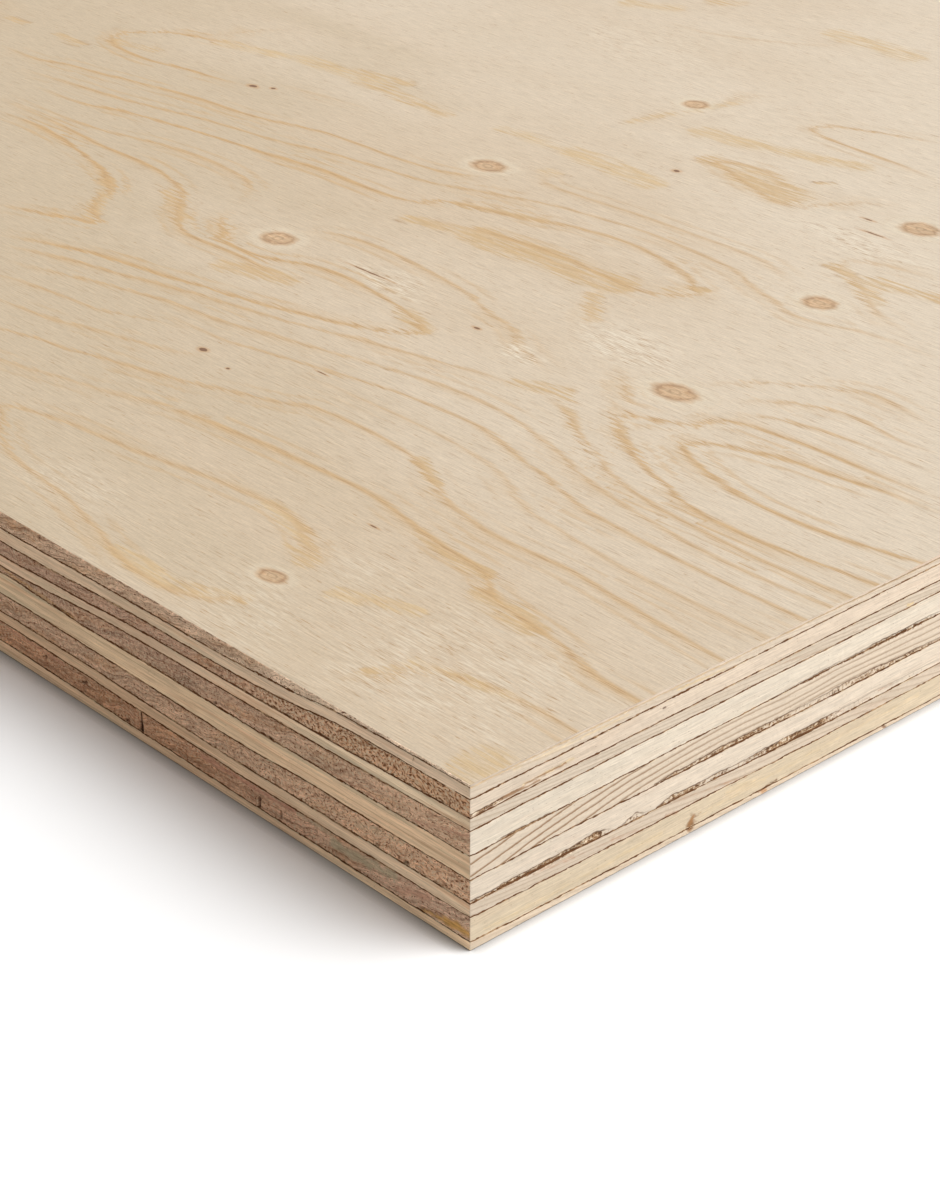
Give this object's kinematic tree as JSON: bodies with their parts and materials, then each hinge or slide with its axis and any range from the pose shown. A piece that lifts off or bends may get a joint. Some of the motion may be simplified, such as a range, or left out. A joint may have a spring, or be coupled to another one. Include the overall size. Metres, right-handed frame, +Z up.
{
  "type": "plywood sheet",
  "caption": "Softwood plywood sheet lying flat: crossed veneers with thin dark glue lines, sawn square edges, knotty face.",
  "frame": {"origin": "centre of the underside, on the surface the sheet lies on", "axes": "+X along the sheet's length and its face grain, +Y across its width, +Z up through its thickness, out of the face"},
  "size_m": [2.44, 1.22, 0.027],
  "materials": {
    "face_wood": "sanded, raw",
    "back_wood": "sanded, raw",
    "long_grain_wood": "sawn, raw",
    "cross_grain_wood": "sawn, raw",
    "hardened_glue": "matt, sawn"
  },
  "bodies": {
    "root": {"face_veneer": "face_wood", "long_veneer_1": "long_grain_wood", "cross_veneer_1": "cross_grain_wood", "long_veneer_2": "long_grain_wood", "cross_veneer_2": "cross_grain_wood", "core_veneer": "long_grain_wood", "cross_veneer_3": "cross_grain_wood", "long_veneer_3": "long_grain_wood", "cross_veneer_4": "cross_grain_wood", "cross_veneer_4_end_strip": "cross_grain_wood", "back_veneer": "back_wood", "glue_line_1": "hardened_glue", "glue_line_2": "hardened_glue", "glue_line_3": "hardened_glue", "glue_line_4": "hardened_glue", "glue_line_5": "hardened_glue", "glue_line_6": "hardened_glue", "glue_line_7": "hardened_glue", "glue_line_8": "hardened_glue", "glue_line_9": "hardened_glue"}
  },
  "joints": []
}
